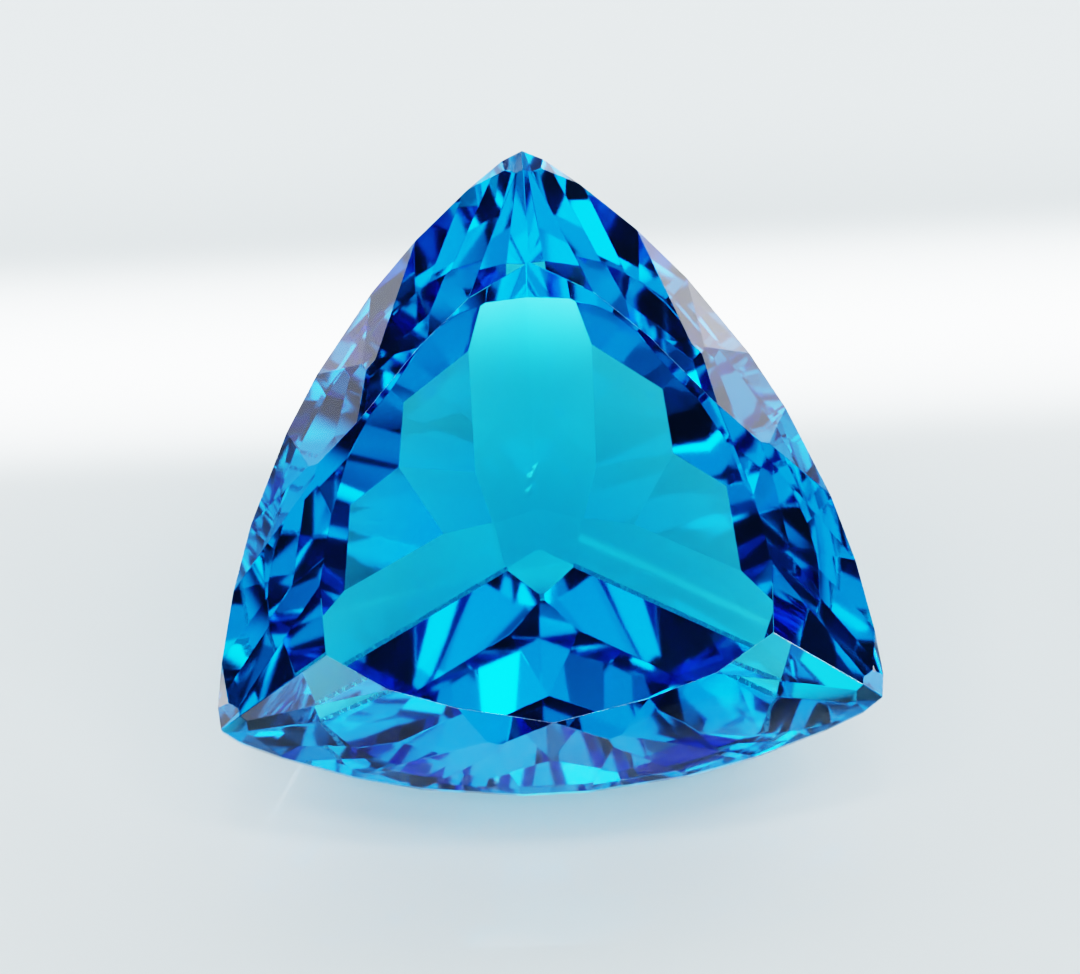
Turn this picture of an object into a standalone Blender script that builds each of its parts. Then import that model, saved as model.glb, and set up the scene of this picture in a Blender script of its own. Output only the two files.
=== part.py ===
"""A loose trillion-cut blue topaz: one solid stone, faceted all round, lying on a pavilion facet.

The stone is cut the way a gem cutter does it. A blank with the girdle outline is made first, then flat
planes take the crown off its upper side and the pavilion off its lower side. The table of the stone is
level while it is cut; at the end the stone is turned over onto the pavilion facet it rests on.
"""
import math

import bmesh
import bpy
from mathutils import Matrix, Vector

for old in list(bpy.data.objects):
    bpy.data.objects.remove(old, do_unlink=True)

# Size. Every other length is a share of the span between two corners.
SPAN = 0.016
SIDE_BULGE = 0.116
GIRDLE_THICKNESS = 0.022
CROWN_HEIGHT = 0.105
PAVILION_DEPTH = 0.430

# Where the girdle facets of one half side begin and end: the turn of the side's arc, in degrees from its middle.
GIRDLE_STEPS = (2.5, 10.0, 15.3, 20.8, 24.2)
CORNER_REACH = 0.570

# Slopes in degrees from the girdle plane, one for each girdle facet from the middle of a side to its corner.
CROWN_SLOPES = (41.6, 43.9, 38.4, 32.9, 40.0)
PAVILION_SLOPES = (63.0, 63.0, 63.0, 62.0, 60.0)
CROWN_CORNER_SLOPE = 38.0
PAVILION_CORNER_SLOPE = 55.0

# Star facets beside the table and the long pair at each corner: turn, slope, distance of the table edge.
STAR = (11.63, 28.8, 0.3037)
CORNER_PAIR = (28.0, 23.7, 0.339)

# Pavilion: the two long facets of each side, which meet along the corner lines, and the small one at the tip.
MAIN_TURN = 13.5
MAIN_SLOPE = 34.0
TIP_SLOPE = 25.5
TIP_REACH = 0.076

# The kite of each side, the two facets beside it and the tier round them.
KITE_SLOPE = 38.8
KITE_INNER = 0.080
KITE_OUTER = 0.240
WING_TURN = 3.7
WING_SLOPE = 39.8
BREAK_SLOPE = 43.8
BREAK_SIDE_TURN = 6.0
BREAK_SIDE_SLOPE = 43.3
BREAK_SIDE_POINT = (0.270, 0.105)

SIDES = (30.0, 150.0, 270.0)
CORNERS = (90.0, 210.0, 330.0)
REST_SIDE = 270.0
ARC_RADIUS = (0.25 + SIDE_BULGE ** 2) / (2.0 * SIDE_BULGE)
ARC_CENTRE = ARC_RADIUS - SIDE_BULGE - 0.5 / math.sqrt(3.0)


def level(azimuth):
    """Unit vector in the girdle plane."""
    turn = math.radians(azimuth)
    return Vector((math.cos(turn), math.sin(turn), 0.0))


def arc_point(side, step):
    """Point of a side's arc where the arc has turned by step degrees."""
    turn = math.radians(step)
    out = ARC_RADIUS * math.cos(turn) - ARC_CENTRE
    along = ARC_RADIUS * math.sin(turn)
    return level(side) * out + level(side + 90.0) * along


def girdle_outline():
    """Corners of the girdle polygon, counter-clockwise."""
    points = []
    steps = [-step for step in reversed(GIRDLE_STEPS)] + list(GIRDLE_STEPS)
    for side in SIDES:
        points += [arc_point(side, step) for step in steps]
        points.append(level(side + 60.0) * CORNER_REACH)
    return points


def blank():
    """Upright prism on the girdle outline, deeper and higher than the finished stone."""
    bm = bmesh.new()
    low = -1.2 * PAVILION_DEPTH
    corners = [bm.verts.new((point.x, point.y, low)) for point in girdle_outline()]
    base = bm.faces.new(corners)
    raised = bmesh.ops.extrude_face_region(bm, geom=[base])
    top = [item for item in raised["geom"] if isinstance(item, bmesh.types.BMVert)]
    bmesh.ops.translate(bm, verts=top, vec=(0.0, 0.0, CROWN_HEIGHT - low))
    bmesh.ops.recalc_face_normals(bm, faces=bm.faces[:])
    return bm


def grind(bm, normal, point):
    """Take away everything in front of a plane and close the stone with the new facet."""
    parts = bm.verts[:] + bm.edges[:] + bm.faces[:]
    bmesh.ops.bisect_plane(bm, geom=parts, dist=1e-5, plane_co=point, plane_no=normal, clear_outer=True)
    bmesh.ops.remove_doubles(bm, verts=bm.verts[:], dist=2e-5)
    rim = [edge for edge in bm.edges if edge.is_boundary]
    if rim:
        bmesh.ops.holes_fill(bm, edges=rim)


def crown_facet(bm, azimuth, slope, distance, height):
    """Facet that falls away outward, at the given height where it is distance from the axis."""
    tilt = math.radians(slope)
    normal = level(azimuth) * math.sin(tilt) + Vector((0.0, 0.0, math.cos(tilt)))
    grind(bm, normal, level(azimuth) * distance + Vector((0.0, 0.0, height)))


def pavilion_facet(bm, azimuth, slope, distance, height):
    """Facet that rises outward, at the given height where it is distance from the axis."""
    tilt = math.radians(slope)
    normal = level(azimuth) * math.sin(tilt) - Vector((0.0, 0.0, math.cos(tilt)))
    grind(bm, normal, level(azimuth) * distance + Vector((0.0, 0.0, height)))


def girdle_facets():
    """Azimuth and distance from the axis of each girdle facet, with its number from the middle of the side."""
    steps = [-step for step in reversed(GIRDLE_STEPS)] + list(GIRDLE_STEPS)
    middle = len(GIRDLE_STEPS) - 1
    facets = []
    for side in SIDES:
        for number, (first, second) in enumerate(zip(steps, steps[1:])):
            turn = 0.5 * (first + second)
            distance = level(side + turn).dot(arc_point(side, first))
            facets.append((side + turn, distance, abs(number - middle)))
    return facets


def corner_facets():
    """Azimuth and distance from the axis of the two girdle facets that meet at each corner."""
    facets = []
    for corner in CORNERS:
        tip = level(corner) * CORNER_REACH
        shoulder = arc_point(corner - 60.0, GIRDLE_STEPS[-1])
        edge = tip - shoulder
        azimuth = math.degrees(math.atan2(edge.y, edge.x)) - 90.0
        for turned in (azimuth, 2.0 * corner - azimuth):
            facets.append((turned, level(azimuth).dot(tip)))
    return facets


def keel_rise():
    """Rise, for each unit outward, of the line where the two long facets of a side meet."""
    return math.tan(math.radians(MAIN_SLOPE)) * math.cos(math.radians(MAIN_TURN))


def kite_height():
    """Height of the outer tip of a kite, whose inner tip lies on the line of the two long facets."""
    kite = math.tan(math.radians(KITE_SLOPE))
    return -PAVILION_DEPTH + KITE_INNER * keel_rise() + (KITE_OUTER - KITE_INNER) * kite


def cut_crown(bm):
    for azimuth, distance, number in girdle_facets():
        crown_facet(bm, azimuth, CROWN_SLOPES[number], distance, GIRDLE_THICKNESS)
    for azimuth, distance in corner_facets():
        crown_facet(bm, azimuth, CROWN_CORNER_SLOPE, distance, GIRDLE_THICKNESS)
    for side in SIDES:
        for hand in (-1.0, 1.0):
            crown_facet(bm, side + hand * STAR[0], STAR[1], STAR[2], CROWN_HEIGHT)
    for corner in CORNERS:
        for hand in (-1.0, 1.0):
            crown_facet(bm, corner + hand * CORNER_PAIR[0], CORNER_PAIR[1], CORNER_PAIR[2], CROWN_HEIGHT)


def cut_pavilion(bm):
    for azimuth, distance, number in girdle_facets():
        pavilion_facet(bm, azimuth, PAVILION_SLOPES[number], distance, 0.0)
    for azimuth, distance in corner_facets():
        pavilion_facet(bm, azimuth, PAVILION_CORNER_SLOPE, distance, 0.0)
    tip = kite_height()
    for side in SIDES:
        for hand in (-1.0, 1.0):
            pavilion_facet(bm, side + hand * MAIN_TURN, MAIN_SLOPE, 0.0, -PAVILION_DEPTH)
        pavilion_facet(bm, side, TIP_SLOPE, TIP_REACH, -PAVILION_DEPTH + TIP_REACH * keel_rise())
        pavilion_facet(bm, side, BREAK_SLOPE, KITE_OUTER, tip)
        for hand in (-1.0, 1.0):
            wing = level(side + hand * WING_TURN)
            pavilion_facet(bm, side + hand * WING_TURN, WING_SLOPE, KITE_OUTER * wing.dot(level(side)), tip)
            point = level(side) * BREAK_SIDE_POINT[0] + level(side + hand * 90.0) * BREAK_SIDE_POINT[1]
            rise = math.tan(math.radians(WING_SLOPE)) * wing.dot(point - level(side) * KITE_OUTER)
            azimuth = side + hand * BREAK_SIDE_TURN
            pavilion_facet(bm, azimuth, BREAK_SIDE_SLOPE, level(azimuth).dot(point), tip + rise)
        pavilion_facet(bm, side, KITE_SLOPE, KITE_OUTER, tip)


def resting_turn():
    """Turn that brings the kite of the resting side level, facing down."""
    tilt = math.radians(KITE_SLOPE)
    kite = level(REST_SIDE) * math.sin(tilt) - Vector((0.0, 0.0, math.cos(tilt)))
    return kite.rotation_difference(Vector((0.0, 0.0, -1.0))).to_matrix().to_4x4()


def topaz_material():
    """Polished blue topaz: clear, saturated cyan blue."""
    mat = bpy.data.materials.new("polished blue topaz")
    mat.use_nodes = True
    shader = mat.node_tree.nodes["Principled BSDF"]
    shader.inputs["Base Color"].default_value = (0.012, 0.296, 0.558, 1.0)
    shader.inputs["Roughness"].default_value = 0.02
    shader.inputs["Metallic"].default_value = 0.0
    shader.inputs["IOR"].default_value = 1.62
    shader.inputs["Transmission Weight"].default_value = 1.0
    return mat


def cut_stone():
    bm = blank()
    cut_crown(bm)
    cut_pavilion(bm)
    bmesh.ops.remove_doubles(bm, verts=bm.verts[:], dist=4e-4)
    bmesh.ops.dissolve_limit(bm, angle_limit=math.radians(0.05), verts=bm.verts[:], edges=bm.edges[:])
    bmesh.ops.recalc_face_normals(bm, faces=bm.faces[:])
    bmesh.ops.transform(bm, matrix=resting_turn() @ Matrix.Scale(SPAN, 4), verts=bm.verts[:])
    low = min(vert.co.z for vert in bm.verts)
    middle = 0.5 * (min(vert.co.y for vert in bm.verts) + max(vert.co.y for vert in bm.verts))
    bmesh.ops.translate(bm, verts=bm.verts[:], vec=(0.0, -middle, -low))
    mesh = bpy.data.meshes.new("topaz")
    bm.to_mesh(mesh)
    bm.free()
    mesh.materials.append(topaz_material())
    stone = bpy.data.objects.new("topaz", mesh)
    bpy.context.scene.collection.objects.link(stone)
    return stone


stone = cut_stone()
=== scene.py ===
"""A loose trillion-cut blue topaz, lying on a pavilion facet on white acrylic, in soft studio light."""
import math

import bmesh
import bpy
from mathutils import Matrix, Vector


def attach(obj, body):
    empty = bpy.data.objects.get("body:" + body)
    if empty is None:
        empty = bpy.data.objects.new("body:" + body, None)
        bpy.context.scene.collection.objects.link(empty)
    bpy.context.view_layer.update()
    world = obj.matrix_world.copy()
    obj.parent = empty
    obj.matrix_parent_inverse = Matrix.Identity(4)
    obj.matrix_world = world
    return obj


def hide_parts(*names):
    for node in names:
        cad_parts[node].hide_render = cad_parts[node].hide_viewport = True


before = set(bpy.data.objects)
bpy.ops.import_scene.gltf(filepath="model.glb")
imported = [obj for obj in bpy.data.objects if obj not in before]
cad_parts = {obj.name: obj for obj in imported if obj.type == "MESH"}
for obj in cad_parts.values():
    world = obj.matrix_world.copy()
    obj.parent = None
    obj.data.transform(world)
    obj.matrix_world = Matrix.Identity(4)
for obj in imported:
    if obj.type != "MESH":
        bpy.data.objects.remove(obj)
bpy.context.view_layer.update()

# The stone: blue topaz, a hard clear crystal, ground flat facet by facet on a lap and then polished.
# Each junction of two facets is worn by a hair from handling. The two long ridges that run from the tip of
# the pavilion to the lower corners are worn the most, with a row of tiny chips.
LEAN = math.radians(38.8)
STONE_CENTRE = Vector((0.0, -0.00098016, 0.00550963))
TABLE_AXIS = Vector((0.0, -math.sin(LEAN), math.cos(LEAN)))
STONE_UP = Vector((0.0, math.cos(LEAN), math.sin(LEAN)))
STONE_ACROSS = Vector((1.0, 0.0, 0.0))
MAIN_SLOPE = math.radians(34.0)
SLOPE_MATCH = 0.002
WORN_EDGE = 0.000007
WORN_RIDGE = 0.00006
CHIP_SIZE = 0.00012

# The feather inside the stone: place and half length of each sliver, across, up and out of the table.
FEATHER = (
    ((-0.00020, 0.00122, -0.00128), 0.00030),
    ((-0.00009, 0.00144, -0.00128), 0.00018),
    ((-0.00028, 0.00088, -0.00123), 0.00021),
)
SLIVER_WIDTH = 0.45
SLIVER_THICKNESS = 0.16

TOPAZ_IOR = 1.62
TOPAZ_COLOUR = "#00E9F7"
TOPAZ_DEPTH_OF_COLOUR = 490.0
POLISHED = 0.04
WORN = 0.05
CHIPPED = 0.55


def linear(hex_colour):
    """Linear RGBA of an sRGB hex colour."""
    values = [int(hex_colour[place:place + 2], 16) / 255.0 for place in (1, 3, 5)]
    return tuple(v / 12.92 if v <= 0.04045 else ((v + 0.055) / 1.055) ** 2.4 for v in values) + (1.0,)


def add_node(tree, kind, settings=None, links=None):
    """Add a node, set its sockets and properties, and link sockets of other nodes into it."""
    node = tree.nodes.new(kind)
    for name, value in (settings or {}).items():
        if isinstance(name, int) or name in node.inputs:
            node.inputs[name].default_value = value
        else:
            setattr(node, name, value)
    for name, source in (links or {}).items():
        tree.links.new(source, node.inputs[name])
    return node


def empty_material(name):
    mat = bpy.data.materials.new(name)
    mat.use_nodes = True
    mat.node_tree.nodes.clear()
    return mat


def clear_topaz(roughness):
    """Settings of a surface that lets all light through and bends it as topaz does."""
    return {
        "Base Color": linear("#FFFFFF"),
        "Roughness": roughness,
        "IOR": TOPAZ_IOR,
        "Transmission Weight": 1.0,
    }


def finish_crystal(tree, surface):
    """Put the surface round the crystal, whose blue is in its depth, so that thin corners are pale."""
    depth = add_node(tree, "ShaderNodeVolumeAbsorption", {
        "Color": linear(TOPAZ_COLOUR),
        "Density": TOPAZ_DEPTH_OF_COLOUR,
    })
    add_node(tree, "ShaderNodeOutputMaterial", links={
        "Surface": surface,
        "Volume": depth.outputs["Volume"],
    })


def polished_topaz():
    """Clear crystal with a lap polish."""
    mat = empty_material("polished blue topaz")
    surface = add_node(mat.node_tree, "ShaderNodeBsdfPrincipled", clear_topaz(POLISHED))
    finish_crystal(mat.node_tree, surface.outputs["BSDF"])
    return mat


def worn_topaz():
    """The same crystal along a worn ridge: small dents, and chips that scatter the light and look white."""
    mat = empty_material("chipped blue topaz ridge")
    tree = mat.node_tree
    place = add_node(tree, "ShaderNodeTexCoord")
    noise = add_node(tree, "ShaderNodeTexNoise", {
        "Scale": 1.0 / CHIP_SIZE,
        "Detail": 2.0,
        "Roughness": 0.6,
    }, {"Vector": place.outputs["Object"]})
    chips = add_node(tree, "ShaderNodeMapRange", {
        "From Min": 0.42,
        "From Max": 0.50,
        "To Min": 0.0,
        "To Max": 1.0,
    }, {"Value": noise.outputs["Fac"]})
    dents = add_node(tree, "ShaderNodeBump", {
        "Strength": 0.4,
        "Distance": 0.3 * CHIP_SIZE,
    }, {"Height": noise.outputs["Fac"]})
    whole = add_node(tree, "ShaderNodeBsdfPrincipled", clear_topaz(WORN), {"Normal": dents.outputs["Normal"]})
    chipped = add_node(tree, "ShaderNodeBsdfPrincipled", {
        "Base Color": linear("#E8F6FA"),
        "Roughness": CHIPPED,
        "IOR": TOPAZ_IOR,
        "Transmission Weight": 0.35,
    })
    both = add_node(tree, "ShaderNodeMixShader", links={
        "Fac": chips.outputs["Result"],
        1: whole.outputs["BSDF"],
        2: chipped.outputs["BSDF"],
    })
    finish_crystal(tree, both.outputs["Shader"])
    return mat


def is_main(face):
    """True for one of the six long facets at the tip of the pavilion."""
    return abs(-face.normal.dot(TABLE_AXIS) - math.cos(MAIN_SLOPE)) < SLOPE_MATCH


def is_lower_ridge(edge):
    """True for a junction of two long facets that runs to one of the two lower corners."""
    middle = 0.5 * (edge.verts[0].co + edge.verts[1].co)
    return all(is_main(face) for face in edge.link_faces) and (middle - STONE_CENTRE).dot(STONE_UP) < 0.0


def wear_down(bm, edges, width):
    """Grind a narrow flat along each edge."""
    return bmesh.ops.bevel(bm, geom=edges, offset=width, offset_type="OFFSET", affect="EDGES",
                           segments=1, profile=0.5, material=-1)["faces"]


def add_sliver(bm, place, size):
    """Flat sliver of empty space inside the crystal, its faces turned toward the hollow."""
    middle = STONE_CENTRE + STONE_ACROSS * place[0] + STONE_UP * place[1] + TABLE_AXIS * place[2]
    ways = (
        (STONE_UP + 0.6 * STONE_ACROSS).normalized() * size,
        (STONE_ACROSS - 0.6 * STONE_UP).normalized() * size * SLIVER_WIDTH,
        (TABLE_AXIS + 0.5 * STONE_ACROSS).normalized() * size * SLIVER_THICKNESS,
    )
    tips = [bm.verts.new(middle + way * side) for way in ways for side in (-1.0, 1.0)]
    faces = [bm.faces.new((first, second, third))
             for first in tips[0:2] for second in tips[2:4] for third in tips[4:6]]
    bmesh.ops.recalc_face_normals(bm, faces=faces)
    bmesh.ops.reverse_faces(bm, faces=faces)


def faceted_stone(node):
    """Flat facets of the cut stone, each one face, with the worn line along every junction."""
    bm = bmesh.new()
    bm.from_mesh(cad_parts[node].data)
    bmesh.ops.remove_doubles(bm, verts=bm.verts[:], dist=1e-6)
    bmesh.ops.dissolve_limit(bm, angle_limit=math.radians(0.2), verts=bm.verts[:], edges=bm.edges[:])
    for face in wear_down(bm, [edge for edge in bm.edges if is_lower_ridge(edge)], WORN_RIDGE):
        face.material_index = 1
    sharp = [edge for edge in bm.edges if not any(face.material_index for face in edge.link_faces)]
    wear_down(bm, sharp, WORN_EDGE)
    bmesh.ops.recalc_face_normals(bm, faces=bm.faces[:])
    for place, size in FEATHER:
        add_sliver(bm, place, size)
    mesh = bpy.data.meshes.new("cut_topaz")
    bm.to_mesh(mesh)
    bm.free()
    return mesh


stone = bpy.data.objects.new("cut_topaz", faceted_stone("topaz"))
bpy.context.scene.collection.objects.link(stone)
stone.data.materials.append(polished_topaz())
stone.data.materials.append(worn_topaz())
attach(stone, "root")
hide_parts("topaz")


# The sheet under the stone: white cast acrylic with a satin gloss, large enough to fill every view.
# It lies a hair below the ground plane, so that the resting facet and the sheet never share a plane.
SHEET_HALF_WIDTH = 1.5
SHEET_DROP = 0.00002


def acrylic_sheet():
    bm = bmesh.new()
    bmesh.ops.create_grid(bm, x_segments=1, y_segments=1, size=SHEET_HALF_WIDTH)
    mesh = bpy.data.meshes.new("acrylic_sheet")
    bm.to_mesh(mesh)
    bm.free()
    mat = empty_material("white satin acrylic")
    surface = add_node(mat.node_tree, "ShaderNodeBsdfPrincipled", {
        "Base Color": linear("#DFEFF5"),
        "Roughness": 0.07,
        "IOR": 1.49,
    })
    add_node(mat.node_tree, "ShaderNodeOutputMaterial", links={"Surface": surface.outputs["BSDF"]})
    mesh.materials.append(mat)
    sheet = bpy.data.objects.new("acrylic_sheet", mesh)
    bpy.context.scene.collection.objects.link(sheet)
    return sheet


sheet = acrylic_sheet()
sheet.location.z = -SHEET_DROP


# Light: a white wall behind the stone, a tube just above it, soft boxes hung round and above, and a dark
# room between them, so that the facets flash and go dark by turns. Two lamps throw a pale band on the sheet.
# Directions are degrees round from straight behind the stone, and degrees up from the sheet.
WALL_HALF_WIDTH = 60.0
WALL_TOP = 37.0
WALL_SIDE_FADE = 0.12
WALL_TOP_FADE = 0.05
WALL_BRIGHTNESS = 1.5
TUBE_HEIGHT = 41.4
TUBE_HALF_HEIGHT = 0.6
TUBE_BRIGHTNESS = 7.0
ROOM_BRIGHTNESS = 0.03

# Soft boxes: direction round, direction up, half angle, brightness.
SOFT_BOXES = (
    (42.0, 18.0, 16.0, 1.2), (0.0, 86.0, 6.0, 4.0), (180.0, 22.0, 13.0, 2.0), (-154.0, 13.0, 10.0, 0.9),
    (-157.0, 36.0, 14.0, 1.1), (158.0, 34.0, 16.0, 1.0), (-128.0, 46.0, 5.0, 1.5), (122.0, 42.0, 5.0, 3.0),
    (138.0, 26.0, 4.0, 8.0), (-112.0, 14.0, 10.0, 1.0), (107.0, 16.0, 10.0, 1.0), (-100.0, 58.0, 5.0, 4.0),
    (102.0, 58.0, 5.0, 4.0), (152.0, 66.0, 4.0, 2.5), (-150.0, 66.0, 4.0, 4.0), (178.0, 47.0, 4.0, 4.0),
    (88.0, 12.0, 6.0, 3.5), (-90.0, 14.0, 6.0, 3.5), (-76.0, 18.0, 5.0, 1.5), (104.0, 70.0, 5.0, 1.5),
    (-112.0, 70.0, 5.0, 1.5),
)
SOFT_BOX_CORE = 0.5
SOFT_BOX_RIM = 1.4

# Lamps: distance behind the stone, depth and power.
BAND_LAMPS = ((0.0120, 0.0015, 0.0045), (0.0260, 0.0160, 0.0012))
BAND_LAMP_LENGTH = 0.12
BAND_LAMP_HEIGHT = 0.06
BAND_LAMP_SPREAD = 8.0


def toward(azimuth, elevation):
    """Unit vector in a direction given as degrees round from straight behind and degrees up."""
    turn, rise = math.radians(azimuth), math.radians(elevation)
    return (math.sin(turn) * math.cos(rise), math.cos(turn) * math.cos(rise), math.sin(rise))


def soft_box(tree, direction, azimuth, elevation, half_angle, brightness):
    """Round soft box: full brightness in its core, fading out at its rim."""
    nearness = add_node(tree, "ShaderNodeVectorMath", {
        "operation": "DOT_PRODUCT",
        1: toward(azimuth, elevation),
    }, {0: direction})
    level = add_node(tree, "ShaderNodeMapRange", {
        "interpolation_type": "SMOOTHSTEP",
        "From Min": math.cos(math.radians(half_angle * SOFT_BOX_RIM)),
        "From Max": math.cos(math.radians(half_angle * SOFT_BOX_CORE)),
        "To Min": 0.0,
        "To Max": brightness,
    }, {"Value": nearness.outputs["Value"]})
    return level.outputs["Result"]


def wall_and_tube(tree, direction):
    """White wall behind the stone, and the tube above it, as long as the wall is wide."""
    axes = add_node(tree, "ShaderNodeSeparateXYZ", links={"Vector": direction})
    turn = add_node(tree, "ShaderNodeMath", {"operation": "ARCTAN2"}, {
        0: axes.outputs["X"],
        1: axes.outputs["Y"],
    })
    width = add_node(tree, "ShaderNodeMath", {"operation": "ABSOLUTE"}, {0: turn.outputs[0]})
    side = math.radians(WALL_HALF_WIDTH)
    top = math.sin(math.radians(WALL_TOP))
    tube = math.sin(math.radians(TUBE_HEIGHT))
    edge = math.cos(math.radians(TUBE_HEIGHT)) * math.radians(TUBE_HALF_HEIGHT)
    levels = []
    for value, low, high, below, above in (
        (width.outputs[0], side - WALL_SIDE_FADE, side + WALL_SIDE_FADE, 1.0, 0.0),
        (axes.outputs["Z"], top - WALL_TOP_FADE, top + WALL_TOP_FADE, WALL_BRIGHTNESS, 0.0),
        (axes.outputs["Z"], tube - edge, tube, 0.0, TUBE_BRIGHTNESS),
        (axes.outputs["Z"], tube, tube + edge, 1.0, 0.0),
    ):
        level = add_node(tree, "ShaderNodeMapRange", {
            "interpolation_type": "SMOOTHSTEP",
            "From Min": low,
            "From Max": high,
            "To Min": below,
            "To Max": above,
        }, {"Value": value})
        levels.append(level.outputs["Result"])
    across, wall, under, over = levels
    line = add_node(tree, "ShaderNodeMath", {"operation": "MULTIPLY"}, {0: under, 1: over})
    behind = add_node(tree, "ShaderNodeMath", {"operation": "ADD"}, {0: wall, 1: line.outputs[0]})
    return add_node(tree, "ShaderNodeMath", {"operation": "MULTIPLY"}, {0: across, 1: behind.outputs[0]})


def studio_world():
    world = bpy.data.worlds.new("studio")
    bpy.context.scene.world = world
    world.use_nodes = True
    tree = world.node_tree
    tree.nodes.clear()
    direction = add_node(tree, "ShaderNodeTexCoord").outputs["Generated"]
    total = wall_and_tube(tree, direction)
    for box in SOFT_BOXES:
        total = add_node(tree, "ShaderNodeMath", {"operation": "ADD"}, {
            0: total.outputs[0],
            1: soft_box(tree, direction, *box),
        })
    room = add_node(tree, "ShaderNodeMath", {
        "operation": "ADD",
        1: ROOM_BRIGHTNESS,
    }, {0: total.outputs[0]})
    light = add_node(tree, "ShaderNodeBackground", {
        "Color": linear("#FFFFFF"),
    }, {"Strength": room.outputs[0]})
    add_node(tree, "ShaderNodeOutputWorld", links={"Surface": light.outputs["Background"]})


def band_lamp(behind, depth, power):
    """Long narrow lamp over the sheet behind the stone, which throws a pale band across it."""
    lamp = bpy.data.lights.new("band_lamp", "AREA")
    lamp.shape = "RECTANGLE"
    lamp.size = BAND_LAMP_LENGTH
    lamp.size_y = depth
    lamp.spread = math.radians(BAND_LAMP_SPREAD)
    lamp.energy = power
    band = bpy.data.objects.new("band_lamp", lamp)
    bpy.context.scene.collection.objects.link(band)
    band.location = (0.0, behind, BAND_LAMP_HEIGHT)


studio_world()
for lamp in BAND_LAMPS:
    band_lamp(*lamp)


# Camera: a long lens, a little below the axis of the table and slightly rolled.
# Its distance is in spans of the stone, and its scale and shift are in pixels of the photo's own frame.
SPAN = 0.016
IMAGE_WIDTH = 1080
SENSOR_WIDTH = 36.0
BELOW_AXIS = 9.0
BESIDE_AXIS = -1.5
ROLL = -3.1
DISTANCE_IN_SPANS = 14.0
PIXELS_PER_SPAN = 668.0
SHIFT_ACROSS = -1.7
SHIFT_UP = 40.0


def look_at_stone():
    below, beside, roll = [math.radians(angle) for angle in (BELOW_AXIS, BESIDE_AXIS, ROLL)]
    back = (STONE_ACROSS * math.sin(beside) - STONE_UP * math.sin(below) * math.cos(beside)
            + TABLE_AXIS * math.cos(below) * math.cos(beside))
    level_up = (STONE_UP - STONE_UP.dot(back) * back).normalized()
    level_across = level_up.cross(back)
    across = math.cos(roll) * level_across + math.sin(roll) * level_up
    up = math.cos(roll) * level_up - math.sin(roll) * level_across
    pixel = SPAN / PIXELS_PER_SPAN
    shift = across * SHIFT_ACROSS * pixel + up * SHIFT_UP * pixel
    spot = STONE_CENTRE + back * DISTANCE_IN_SPANS * SPAN + shift
    lens = bpy.data.cameras.new("camera")
    lens.sensor_width = SENSOR_WIDTH
    lens.lens = SENSOR_WIDTH * PIXELS_PER_SPAN * DISTANCE_IN_SPANS / IMAGE_WIDTH
    lens.clip_start = 0.01
    lens.clip_end = 10.0
    camera = bpy.data.objects.new("camera", lens)
    bpy.context.scene.collection.objects.link(camera)
    camera.matrix_world = Matrix((
        (across.x, up.x, back.x, spot.x),
        (across.y, up.y, back.y, spot.y),
        (across.z, up.z, back.z, spot.z),
        (0.0, 0.0, 0.0, 1.0),
    ))
    bpy.context.scene.camera = camera


look_at_stone()


# Picture: a contrasty film response, as in the photo, and enough bounces for light that runs many times
# between the facets before it leaves the stone.
view = bpy.context.scene.view_settings
view.view_transform = "Filmic"
view.look = "Very High Contrast"
view.exposure = 0.95
bounces = bpy.context.scene.cycles
bounces.max_bounces = 24
bounces.transmission_bounces = 24
bounces.glossy_bounces = 12
